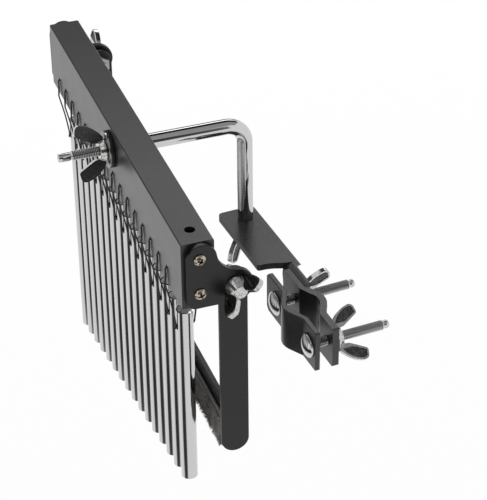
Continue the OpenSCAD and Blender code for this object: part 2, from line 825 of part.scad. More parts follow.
// Front view of a jaw: a rectangle with cut corners
module jaw_face() {
    l = -jaw_left_w;
    r = jaw_right_w;
    h = jaw_h / 2;
    polygon([
        [l, -h + jaw_left_cut], [l + jaw_left_cut, -h],
        [r - jaw_right_cut, -h], [r, -h + jaw_right_cut],
        [r, h - jaw_right_cut], [r - jaw_right_cut, h],
        [l + jaw_left_cut, h], [l, h - jaw_left_cut]]);
}

// Sheet that folds from the plate down to the rear jaw's left flange, as (y, z) points
module fold_outline() {
    mid = [rear_flange + fold_r, plate_top_z - fold_r];
    in_r = fold_r - bracket_t;
    polygon(concat(
        [[rear_flange, 0]], arc(mid, fold_r, 180, 90, 12),
        [[plate_back, plate_top_z], [plate_back, plate_top_z - bracket_t]],
        arc(mid, in_r, 90, 180, 12), [[rear_flange + bracket_t, 0]]));
}

// Front view of the fold: it runs from the plate's end to the V and narrows to the flange
module fold_face() {
    x0 = -plate_near - fold_lap;
    x1 = -jaw_bend_x(rear_flange, bracket_t);
    notch = [-jaw_left_w - x0, plate_top_z - 1 - fold_low];
    polygon(concat(
        [[x0, plate_top_z + cut], [x1, plate_top_z + cut], [x1, 0], [-jaw_left_w, 0]],
        [for (p = arc([0, 0], 1, 0, 90)) [x0 + notch[0] * p[0], fold_low + notch[1] * p[1]]]));
}

// Steps of the plate's hollow near end past its front corner, as (x, y) points
near_edge = [[0.3, -4], [1.3, 0], [3, 4], [4.2, 8]];
near_flare = 4.6;
near_corner_r = 1.5;

// Plan of the plate: rounded outer corners and a slightly hollow near end
module plate_outline() {
    x0 = -leg_along - plate_beyond;
    x1 = -plate_near;
    r = plate_round_r;
    y0 = -plate_front;
    polygon(concat(
        arc([x0 + r, y0 + r], r, 180, 270, 8),
        arc([x1 - near_corner_r, y0 + near_corner_r], near_corner_r, 270, 360, 5),
        [for (p = near_edge) [x1 + p[0], p[1]]],
        [[x1 + near_flare, plate_back]],
        arc([x0 + r, plate_back - r], r, 90, 180, 8)));
}

module bracket() {
    color([0.12, 0.12, 0.125])
    in_clamp()
    difference() {
        union() {
            translate([0, 0, plate_top_z - bracket_t]) linear_extrude(bracket_t) plate_outline();
            difference() {
                intersection() {
                    along_x(-plate_near - fold_lap, plate_near) fold_outline();
                    along_y(0, plate_back + cut) fold_face();
                }
                rod_y(-bolt_offset, clamp_nut_y + relief_rise, 0, wing_span / 2 + relief_gap, plate_back);
            }
            jaw(rear_flange, bracket_t);
        }
        translate([-leg_along, leg_across, plate_top_z - bracket_t - cut])
        cylinder(r = plain_r, h = bracket_t + 2 * cut);
        for (side = [-1, 1])
            rod_y(side * bolt_offset, rear_flange - cut, 0, plain_r, bracket_t + 2 * cut);
    }
}

module front_jaw() {
    neck = bolt_neck_w + hole_gap;
    color([0.1, 0.1, 0.105])
    in_clamp()
    mirror([0, 1, 0])
    difference() {
        jaw(front_flange, front_jaw_t);
        for (side = [-1, 1])
            translate([side * bolt_offset, front_flange + front_jaw_t / 2, 0])
            cube([neck, front_jaw_t + 2 * cut, neck], center = true);
    }
}

// Carriage bolt along +Y: domed head in front of the front jaw, square neck, thread and point
module clamp_bolt(side) {
    head_y = -front_flange - front_jaw_t;
    dome_h = bolt_head_h - bolt_rim_h;
    dome_r = (pow(bolt_head_d / 2, 2) + pow(dome_h, 2)) / (2 * dome_h);
    dome_a = asin(bolt_head_d / 2 / dome_r);
    in_clamp()
    translate([side * bolt_offset, head_y, 0]) {
        rotate([90, 0, 0])
        rotate_extrude()
        polygon(concat(
            [[0, 0], [bolt_head_d / 2, 0]],
            arc([0, bolt_head_h - dome_r], dome_r, 90 - dome_a, 90, 12)));
        translate([-bolt_neck_w / 2, -eps, -bolt_neck_w / 2])
        cube([bolt_neck_w, front_jaw_t + eps, bolt_neck_w]);
        translate([0, front_jaw_t - eps, 0]) rotate([-90, 0, 0])
        threaded_end(bolt_tip - head_y - front_jaw_t + eps, bolt_point_l, bolt_point_r);
    }
}

module clamp_bolt_left() {
    color([0.78, 0.78, 0.8]) clamp_bolt(-1);
}

module clamp_bolt_right() {
    color([0.78, 0.78, 0.8]) clamp_bolt(1);
}

module clamp_washers() {
    y = rear_flange + bracket_t;
    color([0.75, 0.75, 0.77])
    in_clamp()
    for (side = [-1, 1])
        difference() {
            rod_y(side * bolt_offset, y, 0, washer_d / 2, washer_t);
            rod_y(side * bolt_offset, y - cut, 0, plain_r, washer_t + 2 * cut);
        }
}

// Wing nut on a clamp bolt, its wings turned about the bolt
module clamp_wing_nut(side, turn) {
    color([0.8, 0.8, 0.8])
    in_clamp()
    translate([side * bolt_offset, clamp_nut_y, 0])
    rotate([0, -turn, 0]) rotate([-90, 0, 0]) wing_nut();
}

module clamp_wing_nut_left() {
    clamp_wing_nut(-1, left_nut_turn);
}

module clamp_wing_nut_right() {
    clamp_wing_nut(1, right_nut_turn);
}

bar();
end_block_near();
end_block_far();
end_plate_near();
end_plate_far();
end_screws();
tube(1);  // tube_01
tube(2);  // tube_02
tube(3);  // tube_03
tube(4);  // tube_04
tube(5);  // tube_05
tube(6);  // tube_06
tube(7);  // tube_07
tube(8);  // tube_08
tube(9);  // tube_09
tube(10);  // tube_10
tube(11);  // tube_11
tube(12);  // tube_12
tube(13);  // tube_13
tube(14);  // tube_14
tube(15);  // tube_15
tube(16);  // tube_16
suspension_cords();
damper_arm_near();
damper_arm_far();
damper_strip();
damper_backing();
damper_fur();
pivot_spacers();
pivot_hex_nuts();
pivot_screw_near();
pivot_screw_far();
l_rod();
rubber_washer();
wide_washer();
rod_wing_nut();
plate_rubber_washer();
plate_washer();
plate_wing_nut();
bracket();
front_jaw();
clamp_bolt_left();
clamp_bolt_right();
clamp_washers();
clamp_wing_nut_left();
clamp_wing_nut_right();
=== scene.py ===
"""Looks of the chime bar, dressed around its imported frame. Lengths are metres."""

import json
import math

import bpy
import bmesh
import numpy as np
from mathutils import Matrix, Vector


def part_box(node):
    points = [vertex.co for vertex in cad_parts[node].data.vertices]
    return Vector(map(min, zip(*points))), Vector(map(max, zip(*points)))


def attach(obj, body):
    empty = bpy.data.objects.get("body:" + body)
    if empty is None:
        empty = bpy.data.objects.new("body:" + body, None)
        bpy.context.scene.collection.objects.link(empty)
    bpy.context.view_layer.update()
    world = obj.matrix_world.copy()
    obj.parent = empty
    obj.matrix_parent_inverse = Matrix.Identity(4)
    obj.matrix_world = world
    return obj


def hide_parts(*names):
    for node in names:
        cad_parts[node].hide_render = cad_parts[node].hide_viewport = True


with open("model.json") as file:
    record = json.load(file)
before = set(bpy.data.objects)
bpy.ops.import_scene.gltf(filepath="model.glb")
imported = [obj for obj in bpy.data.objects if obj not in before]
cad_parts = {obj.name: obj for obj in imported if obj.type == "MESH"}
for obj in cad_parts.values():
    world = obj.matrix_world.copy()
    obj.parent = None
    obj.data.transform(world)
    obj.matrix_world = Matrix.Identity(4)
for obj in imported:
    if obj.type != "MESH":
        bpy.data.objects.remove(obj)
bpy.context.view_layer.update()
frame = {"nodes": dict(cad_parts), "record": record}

MM = 0.001
# points closer than this are one: where pieces of a grid meet, and in a copy of a CAD node
GRID_MERGE = 2e-7
CAD_MERGE = 1e-6
WHITE = (1.0, 1.0, 1.0, 1.0)


# Sizes that the new pieces share with the frame

TUBES = ["tube_%02d" % i for i in range(1, 17)]
BAR_LOW, BAR_HIGH = [np.array(v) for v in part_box("bar")]
ROD_LOW, ROD_HIGH = [np.array(v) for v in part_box("l_rod")]
TUBE_LOW, TUBE_HIGH = [np.array(v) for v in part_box("tube_01")]
BAR_MID_Y = (BAR_LOW[1] + BAR_HIGH[1]) / 2
ROD_R = 4.75 * MM
ROD_BEND = 12 * MM
ROD_FOOT_L = 19 * MM
LEG_X = ROD_HIGH[0] - ROD_R
LEG_Y = ROD_HIGH[1] - ROD_R
ROD_Z = ROD_HIGH[2] - ROD_R
ROD_AXIS = np.mean([np.array(v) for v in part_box("wide_washer")], axis=0)[::2].tolist()
THREAD_R = 2.95 * MM
THREAD_DEPTH = 0.48 * MM
PITCH = 1.0 * MM
TUBE_Y = (TUBE_LOW[1] + TUBE_HIGH[1]) / 2
TUBE_R = (TUBE_HIGH[0] - TUBE_LOW[0]) / 2
# height of the cord holes in the bar, and of the cords' lowest run inside the tubes
CORD_Z = BAR_LOW[2] + 11 * MM
SEAT_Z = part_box("suspension_cords")[0][2] + 0.5 * MM

CLAMP_TURN = math.radians(4)
CLAMP_FRAME = np.array([[math.cos(CLAMP_TURN), -math.sin(CLAMP_TURN), 0],
                        [math.sin(CLAMP_TURN), math.cos(CLAMP_TURN), 0],
                        [0, 0, 1]])

# the direction of the line that each wing nut or wing screw turns about
WING_AXES = {
    "rod_wing_nut": (0, 1, 0),
    "plate_wing_nut": (0, 0, 1),
    "pivot_screw_near": (1, 0, 0),
    "pivot_screw_far": (1, 0, 0),
    "clamp_wing_nut_left": CLAMP_FRAME[:, 1],
    "clamp_wing_nut_right": CLAMP_FRAME[:, 1],
}
# how dull a nut's sunk panels are, where that isn't 1
PANEL_DULL = {"rod_wing_nut": 0.3}


def in_clamp(x, y, z):
    """A point given along the clamp's own directions."""
    return CLAMP_FRAME @ np.array([x, y, z])


# Materials

class Value:
    """A shader socket or number. Arithmetic on it adds Math nodes to its tree."""

    def __init__(self, tree, socket):
        self.tree = tree
        self.socket = socket

    def _math(self, operation, *values):
        node = self.tree.nodes.new("ShaderNodeMath")
        node.operation = operation
        for i, value in enumerate(values):
            put(self.tree, node.inputs[i], value)
        return Value(self.tree, node.outputs[0])

    def __add__(self, other):
        return self._math("ADD", self, other)

    __radd__ = __add__

    def __sub__(self, other):
        return self._math("SUBTRACT", self, other)

    def __rsub__(self, other):
        return self._math("SUBTRACT", other, self)

    def __mul__(self, other):
        return self._math("MULTIPLY", self, other)

    __rmul__ = __mul__

    def maximum(self, other):
        return self._math("MAXIMUM", self, other)

    def root(self):
        return self._math("SQRT", self)


def put(tree, socket, value):
    """Link a value that is a socket, or set it as the socket's own number or colour."""
    if isinstance(value, Value):
        value = value.socket
    if isinstance(value, bpy.types.NodeSocket):
        tree.links.new(value, socket)
    else:
        socket.default_value = value


class Finish:
    """A node material around one Principled shader."""

    def __init__(self, name, **sockets):
        self.material = bpy.data.materials.new(name)
        self.material.use_nodes = True
        self.tree = self.material.node_tree
        self.shader = next(n for n in self.tree.nodes if n.type == "BSDF_PRINCIPLED")
        for socket, value in sockets.items():
            self.set(socket.replace("_", " "), value)

    def set(self, socket, value):
        put(self.tree, self.shader.inputs[socket], value)

    def node(self, kind, settings=(), output=0, **sockets):
        """Any other node: its settings come first, then its sockets by name."""
        node = self.tree.nodes.new(kind)
        for key, value in dict(settings).items():
            setattr(node, key, value)
        for key, value in sockets.items():
            put(self.tree, node.inputs[key.replace("_", " ")], value)
        return Value(self.tree, node.outputs[output])

    def dullness_and_painted_light(self):
        """The piece's own attribute that marks a matt finish and painted light, 0 where a piece
        has none.
        """
        return self.node("ShaderNodeAttribute", {"attribute_name": "dull_and_painted_light"}, output=2)

    def place(self, scale=(1, 1, 1)):
        """Object coordinates, stretched by scale."""
        spot = self.node("ShaderNodeTexCoord", output=3)
        return self.node("ShaderNodeMapping", Vector=spot, Scale=scale)

    def noise(self, scale, detail=2.0, roughness=0.5, stretch=(1, 1, 1)):
        """Noise from 0 to 1 with features about 1 / scale metres across."""
        return self.node("ShaderNodeTexNoise", Vector=self.place(stretch), Scale=scale,
                         Detail=detail, Roughness=roughness)

    def ramp(self, value, low, high):
        """0 below low, 1 above high and straight between them."""
        return self.node("ShaderNodeMapRange", Value=value, From_Min=low, From_Max=high)

    def mix(self, factor, a, b):
        """Colour a where factor is 0 and colour b where it is 1."""
        node = self.tree.nodes.new("ShaderNodeMix")
        node.data_type = "RGBA"
        put(self.tree, node.inputs[0], factor)
        put(self.tree, node.inputs[6], a)
        put(self.tree, node.inputs[7], b)
        return Value(self.tree, node.outputs[2])

    def bump(self, height, distance):
        """Tilt the surface by a height from 0 to 1 that stands distance metres tall."""
        self.set("Normal", self.node("ShaderNodeBump", Height=height, Distance=distance))


def grey(value):
    """An opaque grey."""
    return (value, value, value, 1.0)


def tinted(color, share=1.0):
    """An opaque colour, scaled by share."""
    return (*[c * share for c in color], 1.0)


def black_paint(name, base, rough, grain_size, grain_depth, ior=1.5):
    """Satin powder coat: near black, a fine orange peel and a slightly uneven gloss."""
    paint = Finish(name, IOR=ior)
    blotch = paint.noise(60.0, 3.0)
    grain = paint.noise(1 / grain_size, 3.0, 0.6)
    paint.set("Base Color", paint.mix(blotch, grey(base * 0.85), grey(base * 1.2)))
    paint.set("Roughness", rough + (blotch - 0.5) * 0.06 + (grain - 0.5) * 0.08)
    paint.bump(grain, grain_depth)
    return paint.material


# how far a faint smudge moves the roughness of bright metal
SMUDGE = 0.03


def plated_metal(name, color, rough):
    """Bright plate with faint smudges. Where it is marked, in the roots of threads, it is painted
    darker as painted shade, and is less smooth."""
    metal = Finish(name, Metallic=1.0)
    dull_and_painted_light = metal.dullness_and_painted_light()
    film = metal.noise(45.0, 4.0, 0.6)
    clean = metal.mix(film, tinted(color, 0.95), tinted(color))
    # painted shade: the roots of threads are painted at a quarter of the colour
    metal.set("Base Color", metal.mix(dull_and_painted_light, clean, tinted(color, 0.25)))
    metal.set("Roughness", rough + (film - 0.5) * SMUDGE + dull_and_painted_light * 0.15)
    return metal.material


def drawn_metal(name, color, rough, stretch):
    """Polished tube with faint smudges and long drawing lines. Where it is marked, in the bore,
    it is matt, and painted pale and less metallic as a painted highlight that makes the tube
    mouths read bright."""
    metal = Finish(name)
    dull_and_painted_light = metal.dullness_and_painted_light()
    film = metal.noise(45.0, 4.0, 0.6)
    clean = metal.mix(film, tinted(color, 0.95), tinted(color))
    lines = metal.noise(1.0, 2.0, 0.5, stretch)
    # painted highlight: the bore is painted half again as pale as the polish
    metal.set("Base Color", metal.mix(dull_and_painted_light, clean, tinted(color, 1.5)))
    metal.set("Metallic", 1 - dull_and_painted_light * 0.9)
    metal.set("Roughness", rough + (film - 0.5) * SMUDGE + (lines - 0.5) * 0.06 + dull_and_painted_light * 0.35)
    metal.bump(lines, 0.004 * MM)
    return metal.material


def cast_metal(name, color, rough):
    """Plated metal over a coarse cast skin: dark pits between small bright crests. Faces marked
    dull, the sunk panels of wings, are darker, rougher and more pitted."""
    metal = Finish(name, Metallic=1.0)
    dull_and_painted_light = metal.dullness_and_painted_light()
    pits = metal.noise(1700.0, 2.0, 0.6)
    swell = metal.noise(380.0, 2.0, 0.5)
    crest = metal.ramp(pits, 0.36, 0.52)
    polished = metal.mix(crest, tinted(color, 0.4), tinted(color))
    sunk = metal.mix(metal.ramp(pits, 0.40, 0.62), tinted(color, 0.03), tinted(color, 0.26))
    metal.set("Base Color", metal.mix(dull_and_painted_light, polished, sunk))
    metal.set("Roughness", rough + 0.10 * (1 - crest) + 0.25 * dull_and_painted_light)
    metal.bump(pits * (0.6 + 1.5 * dull_and_painted_light) + swell, 0.02 * MM)
    return metal.material


def scratched_metal(name, color, rough):
    """Plated metal with short scratches both ways and a few duller spots, painted near black
    where it is marked, a painted shade in the screws' recesses."""
    metal = Finish(name, Metallic=1.0)
    one = metal.noise(1.0, 1.0, 0.5, (300, 4000, 900))
    other = metal.noise(1.0, 1.0, 0.5, (900, 4000, 300))
    spots = metal.ramp(metal.noise(700.0, 3.0, 0.6), 0.58, 0.66)
    dull_and_painted_light = metal.dullness_and_painted_light()
    worn = metal.mix(spots, tinted(color), tinted(color, 0.6))
    # painted shade: the screws' recesses are painted at a twentieth of the colour
    metal.set("Base Color", metal.mix(dull_and_painted_light, worn, tinted(color, 0.05)))
    metal.set("Roughness", rough + 0.15 * spots + 0.3 * dull_and_painted_light)
    metal.bump(one.maximum(other), 0.02 * MM)
    return metal.material


def ringed_metal_with_painted_shade(name, dark, bright, rough, middle, radius):
    """A washer round a Y axis through middle = (x, z): a face painted dark, a painted reflection
    of the dark wing nut beside it, and, from radius out, a bright rim."""
    metal = Finish(name, Metallic=1.0)
    spot = metal.node("ShaderNodeTexCoord", output=3)
    x, z = [metal.node("ShaderNodeSeparateXYZ", Vector=spot, output=i) for i in (0, 2)]
    across, up = x - middle[0], z - middle[1]
    away = (across * across + up * up).root()
    rim = metal.ramp(away, radius - 0.4 * MM, radius)
    film = metal.noise(500.0, 3.0, 0.6)
    metal.set("Base Color", metal.mix(rim, grey(dark), grey(bright)))
    metal.set("Roughness", rough + film * 0.1)
    return metal.material


def soft_grain(name, color, rough, scale, depth=0.03 * MM):
    """Matt rubber, cord, plastic or cloth: a grain that shades both colour and surface."""
    soft = Finish(name, IOR=1.45)
    grain = soft.noise(scale, 3.0, 0.6)
    soft.set("Base Color", soft.mix(grain, tinted(color, 0.6), tinted(color, 1.4)))
    soft.set("Roughness", rough + (grain - 0.5) * 0.1)
    soft.bump(grain, depth)
    return soft.material


def pile_cloth(name, dark, light):
    """Crushed pile: broad light and dark lays, and a shade of its own on each tuft."""
    pile = Finish(name, IOR=1.4, Roughness=0.85)
    lay = pile.ramp(pile.noise(90.0, 3.0, 0.6), 0.35, 0.65)
    tuft = pile.noise(1800.0, 2.0)
    pile.set("Base Color", pile.mix(lay * 0.6 + tuft * 0.4, tinted(dark), tinted(light)))
    return pile.material


FINISHES = {
    "black_bar": black_paint("bar_paint", 0.014, 0.30, 0.35 * MM, 0.006 * MM),
    "black_plate": black_paint("plate_paint", 0.006, 0.34, 0.35 * MM, 0.008 * MM, 1.43),
    "black_bracket": black_paint("bracket_paint", 0.03, 0.28, 0.5 * MM, 0.025 * MM),
    "tube_metal": drawn_metal("tube_polish", (0.60, 0.60, 0.61), 0.10, (2600, 2600, 25)),
    "chrome": plated_metal("chrome_plate", (0.60, 0.60, 0.61), 0.045),
    "cast_chrome": cast_metal("cast_chrome", (0.62, 0.62, 0.61), 0.10),
    "nickel": scratched_metal("nickel_plate", (0.46, 0.40, 0.33), 0.12),
    # the washer's face is painted dark, a painted reflection of the wing nut
    "washer_steel": ringed_metal_with_painted_shade("washer_steel", 0.05, 0.6, 0.15, ROD_AXIS, 11 * MM),
    "zinc": plated_metal("zinc_plate", (0.42, 0.42, 0.42), 0.25),
    "cord_black": soft_grain("cord", (0.012, 0.012, 0.012), 0.6, 3000.0),
    "rubber": soft_grain("rubber", (0.012, 0.012, 0.012), 0.55, 900.0),
    "felt_backing": soft_grain("felt", (0.34, 0.33, 0.32), 0.9, 2500.0),
    "plush": pile_cloth("plush", (0.10, 0.095, 0.09), (0.46, 0.44, 0.41)),
    "block_plastic": soft_grain("block", (0.015, 0.015, 0.015), 0.5, 800.0),
}

bodies = frame["record"]["behaviour"]["bodies"]
slot_of = {s["node"]: s["material_slot"] for s in frame["record"]["subparts"]}
body_of = {node: body for body, nodes in bodies.items() for node in nodes}
for name, piece in frame["nodes"].items():
    piece.data.materials.clear()
    piece.data.materials.append(FINISHES[slot_of[name]])


# Surfaces

def unit(v):
    """Vectors scaled to length 1."""
    return v / np.linalg.norm(v, axis=-1, keepdims=True)


def around(sides):
    """Evenly spaced angles of a full turn, the last one left out."""
    return np.arange(sides) * 2 * np.pi / sides


def quads(rows, cols, first=0):
    """Faces of a grid of points that closes on itself across its columns."""
    r = np.arange(rows - 1)[:, None] * cols + first
    c = np.arange(cols)[None, :]
    d = (c + 1) % cols
    return np.stack([r + c, r + d, r + cols + d, r + cols + c], axis=-1).reshape(-1, 4)


def join_grids(grids):
    """Points and faces of several closed grids in one list."""
    starts = np.cumsum([0] + [g.shape[0] * g.shape[1] for g in grids])
    points = np.concatenate([g.reshape(-1, 3) for g in grids])
    faces = np.concatenate([quads(*g.shape[:2], start) for g, start in zip(grids, starts)])
    return points, faces.tolist()


def ridge_of(height, t):
    """A V thread at a height in pitches and an angle t: 0 on its narrow crest, 1 in its root.

    It is 1.3 |2 f - 1| - 0.15, held between 0 and 1, with f = height - t / 2 pi less its whole
    turns.
    """
    turns = height - t / (2 * np.pi)
    return np.clip(1.3 * np.abs(2 * (turns - np.floor(turns)) - 1) - 0.15, 0, 1)


def turned(height, radius, at, axis, sides=48, pitch=1.0, depth=0.0, corner=0.0):
    """A lathe surface with an optional thread and square rows.

    P(i, k) = at + h_i A + r_ik (cos t_k U + sin t_k V), where t_k = 2 pi k / sides and
    r_ik = (r_i - depth_i ridge(h_i / pitch, t_k)) / max(|cos t_k|, |sin t_k|)^corner_i.
    """
    height, radius, depth, corner = [
        np.broadcast_to(np.asarray(v, float), np.shape(height))[:, None]
        for v in (height, radius, depth, corner)]
    a = unit(np.asarray(axis, float))
    u = unit(np.cross(a, [0.0, 0.0, 1.0] if abs(a[2]) < 0.9 else [0.0, 1.0, 0.0]))
    v = np.cross(a, u)
    t = around(sides)
    square = np.maximum(np.abs(np.cos(t)), np.abs(np.sin(t)))
    r = (radius - depth * ridge_of(height / pitch, t)) / square ** corner
    return (np.asarray(at, float) + height[..., None] * a
            + r[..., None] * (np.cos(t)[:, None] * u + np.sin(t)[:, None] * v))


def swept(path, radius, lean, sides=8):
    """A round cord along a path, pointed at both ends.

    P(i, k) = c_i + r_i (cos t_k N_i + sin t_k B_i), with T = c', B = T x lean and N = B x T.
    """
    path = np.asarray(path, float)
    tangent = unit(np.gradient(path, axis=0))
    side = unit(np.cross(tangent, lean))
    up = np.cross(side, tangent)
    r = np.broadcast_to(np.asarray(radius, float), len(path))[:, None, None]
    t = around(sides)[:, None]
    rings = path[:, None] + r * (np.cos(t) * up[:, None] + np.sin(t) * side[:, None])
    ends = [np.repeat(path[i][None, None], sides, axis=1) for i in (0, -1)]
    return np.concatenate([ends[0], rings, ends[1]])


def through(points, steps=10):
    """A smooth path (Catmull-Rom) through the given points.

    Between b and c, with a before and d after them:
    (2 b + (c - a) t + (2 a - 5 b + 4 c - d) t^2 + (3 b - a - 3 c + d) t^3) / 2.
    """
    p = np.asarray(points, float)
    p = np.concatenate([[2 * p[0] - p[1]], p, [2 * p[-1] - p[-2]]])
    a, b, c, d = [p[i:len(p) - 3 + i, None] for i in range(4)]
    t = np.linspace(0, 1, steps, endpoint=False)[None, :, None]
    curve = 0.5 * (2 * b + (c - a) * t + (2 * a - 5 * b + 4 * c - d) * t ** 2
                   + (3 * b - a - 3 * c + d) * t ** 3)
    return np.concatenate([curve.reshape(-1, 3), p[-2:-1]])


def piece_of(name, points, faces, slot, body, *stands_for, dull_and_painted_light=None):
    """An object from points and faces, merged, faces outward, in its finish and on its body."""
    mesh = bpy.data.meshes.new(name)
    mesh.from_pydata(np.asarray(points).tolist(), [], faces)
    if dull_and_painted_light is not None:
        mark = mesh.attributes.new("dull_and_painted_light", "FLOAT", "POINT")
        mark.data.foreach_set("value", np.asarray(dull_and_painted_light, dtype=np.float32).ravel())
    merged = bmesh.new()
    merged.from_mesh(mesh)
    bmesh.ops.remove_doubles(merged, verts=merged.verts, dist=GRID_MERGE)
    bmesh.ops.recalc_face_normals(merged, faces=merged.faces)
    merged.to_mesh(mesh)
    merged.free()
    mesh.shade_smooth()
    mesh.materials.append(FINISHES[slot])
    piece = bpy.data.objects.new(name, mesh)
    bpy.context.scene.collection.objects.link(piece)
    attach(piece, body)
    if stands_for:
        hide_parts(*stands_for)
    return piece


# CAD nodes with their edges rounded

def vectors(items, kind):
    """A mesh's vectors of one kind, as rows."""
    values = np.empty(len(items) * 3)
    items.foreach_get(kind, values)
    return values.reshape(-1, 3)


def mark_dull_and_painted_light(mesh, faces, value=1.0):
    """Give the faces that are true the value as their mark of matt finish and painted light, and
    the others 0.
    """
    mark = mesh.attributes.new("dull_and_painted_light", "FLOAT", "FACE")
    mark.data.foreach_set("value", faces.astype(np.float32) * value)


def mark_bore(mesh):
    """Mark the inner wall of an upright tube to be matt and painted pale, a painted highlight:
    its faces look towards the middle line.
    """
    centre, normal = vectors(mesh.polygons, "center"), vectors(mesh.polygons, "normal")
    points = vectors(mesh.vertices, "co")
    middle = (points.max(axis=0) + points.min(axis=0)) / 2
    away = (centre - middle)[:, :2]
    outward = (away * normal[:, :2]).sum(axis=1)
    mark_dull_and_painted_light(mesh, outward < -0.5 * np.linalg.norm(away, axis=1))


def mark_panels(mesh, axis, value):
    """Mark the sunk panels of a wing nut or wing screw as dull.

    They are the faces square to n = axis x w, where w is the wings' direction, that lie off the
    hub and nearer to the wings' middle plane than the wings' outer faces do.
    """
    face_level, hub_reach, tip_share = 1.3 * MM, 4.5 * MM, 0.97
    centre, normal = vectors(mesh.polygons, "center"), vectors(mesh.polygons, "normal")
    points = vectors(mesh.vertices, "co")
    axis = unit(np.array(axis, float))
    flat = points - np.outer(points @ axis, axis)
    middle = (flat.max(axis=0) + flat.min(axis=0)) / 2
    away = flat - middle
    reach = np.linalg.norm(away, axis=1)
    tip = (reach > tip_share * reach.max()) & (away @ away[np.argmax(reach)] > 0)
    w = unit(away[tip].mean(axis=0))
    n = np.cross(axis, w)
    level = np.abs((centre - middle) @ n)
    out = np.abs((centre - middle) @ w)
    square = np.abs(normal @ n) > 0.95
    mark_dull_and_painted_light(mesh, square & (level < face_level) & (out > hub_reach), value)


def softened(node, width, angle=35.0):
    """A copy of a CAD node with its sharp edges rounded by width, in the node's place."""
    source = frame["nodes"][node]
    mesh = source.data.copy()
    mesh.transform(source.matrix_world)
    merged = bmesh.new()
    merged.from_mesh(mesh)
    bmesh.ops.remove_doubles(merged, verts=merged.verts, dist=CAD_MERGE)
    bmesh.ops.dissolve_limit(merged, angle_limit=math.radians(0.5),
                             verts=merged.verts, edges=merged.edges)
    merged.to_mesh(mesh)
    merged.free()
    mesh.shade_smooth()
    if node in WING_AXES:
        mark_panels(mesh, WING_AXES[node], PANEL_DULL.get(node, 1.0))
    elif node in TUBES:
        mark_bore(mesh)
    piece = bpy.data.objects.new(node + "_finished", mesh)
    bpy.context.scene.collection.objects.link(piece)
    bevel = piece.modifiers.new("round", "BEVEL")
    bevel.width = width
    bevel.segments = 3
    bevel.limit_method = "ANGLE"
    bevel.angle_limit = math.radians(angle)
    bevel.miter_outer = "MITER_ARC"
    flat = piece.modifiers.new("flat_faces", "WEIGHTED_NORMAL")
    flat.mode = "FACE_AREA"
    flat.weight = 100
    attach(piece, body_of[node])
    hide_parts(node)
    return piece


# The bent rod and the clamp bolts, with real threads

# Steps (height, radius) in mm past a thread: the groove under a plain point, and a cut end
GROOVE = [(0, 2.95), (0.3, 2.25), (1.0, 2.25), (1.3, 2.5)]
CUT_END = [(0, 2.9), (0.35, 2.55), (0.5, 2.3), (0.5, 0)]
CUT_END_L = 0.5 * MM
POINT_R = 2.5 * MM
DIMPLE_DEPTH = 0.3 * MM


def threaded_rows(start, length, point=0.0, rounding=0.0, dimple=0.0):
    """Rows (height, radius, thread depth) of a shank from start: its thread, then a groove and a
    plain point with a rounded end, or a cut end where there is no point. The thread fades in
    and out over a pitch or less."""
    end = length - (point or CUT_END_L)
    run = np.arange(start, end, PITCH / 12)
    fade_in = np.clip((run - start) / PITCH, 0, 1)
    fade_out = np.clip((end - run) / (0.6 * PITCH), 0, 1)
    rows = [(h, THREAD_R, THREAD_DEPTH * f) for h, f in zip(run, fade_in * fade_out)]
    rows += [(end + h * MM, r * MM, 0) for h, r in (GROOVE if point else CUT_END)]
    if not point:
        return rows
    rows += [(length - rounding * (1 - math.sin(a)), POINT_R - rounding * (1 - math.cos(a)), 0)
             for a in np.linspace(0, np.pi / 2, 9)]
    if dimple:
        low = length - DIMPLE_DEPTH
        return rows + [(length, dimple + DIMPLE_DEPTH, 0), (low, dimple, 0), (low, 0, 0)]
    return rows + [(length, 0, 0)]


def thread_roots(height, depth, sides=48):
    """How far each point of a turned, threaded grid lies in the thread's root, from 0 on the
    crest to 1."""
    share = np.asarray(depth)[:, None] / THREAD_DEPTH
    return (ridge_of(np.asarray(height)[:, None] / PITCH, around(sides)) * share).ravel()


